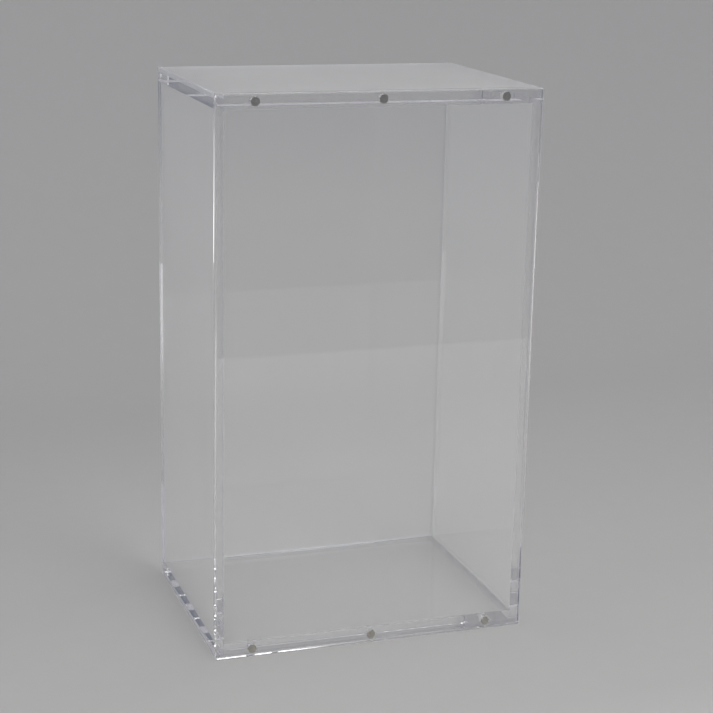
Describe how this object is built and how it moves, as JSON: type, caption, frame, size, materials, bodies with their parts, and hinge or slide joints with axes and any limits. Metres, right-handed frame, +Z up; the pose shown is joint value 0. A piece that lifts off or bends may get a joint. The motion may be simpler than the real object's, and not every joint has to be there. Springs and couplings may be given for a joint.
{
  "type": "acrylic display case",
  "caption": "Tall clear acrylic display box for one object, with a full-size lift-off front door held by small round magnets.",
  "frame": {"origin": "middle of the box's footprint, on the surface that it stands on", "axes": "+Z up, +X to the right seen from the front, -Y towards the front, where the door is"},
  "size_m": [0.216, 0.16, 0.37],
  "materials": {
    "clear_acrylic": "clear cast acrylic, polished faces and flame-bright polished edges",
    "nickel_plate": "bright nickel plating on a disc magnet"
  },
  "bodies": {
    "case": {"bottom_panel": "clear_acrylic", "top_panel": "clear_acrylic", "left_panel": "clear_acrylic", "right_panel": "clear_acrylic", "back_panel": "clear_acrylic", "case_magnet_top_left": "nickel_plate", "case_magnet_top_middle": "nickel_plate", "case_magnet_top_right": "nickel_plate", "case_magnet_bottom_left": "nickel_plate", "case_magnet_bottom_middle": "nickel_plate", "case_magnet_bottom_right": "nickel_plate"},
    "door": {"front_door": "clear_acrylic", "door_magnet_top_left": "nickel_plate", "door_magnet_top_middle": "nickel_plate", "door_magnet_top_right": "nickel_plate", "door_magnet_bottom_left": "nickel_plate", "door_magnet_bottom_middle": "nickel_plate", "door_magnet_bottom_right": "nickel_plate"}
  },
  "joints": [
    {"name": "door_pull", "type": "slide", "parent": "case", "child": "door", "axis": [0, -1, 0], "range_m": [0, 0.15]}
  ]
}
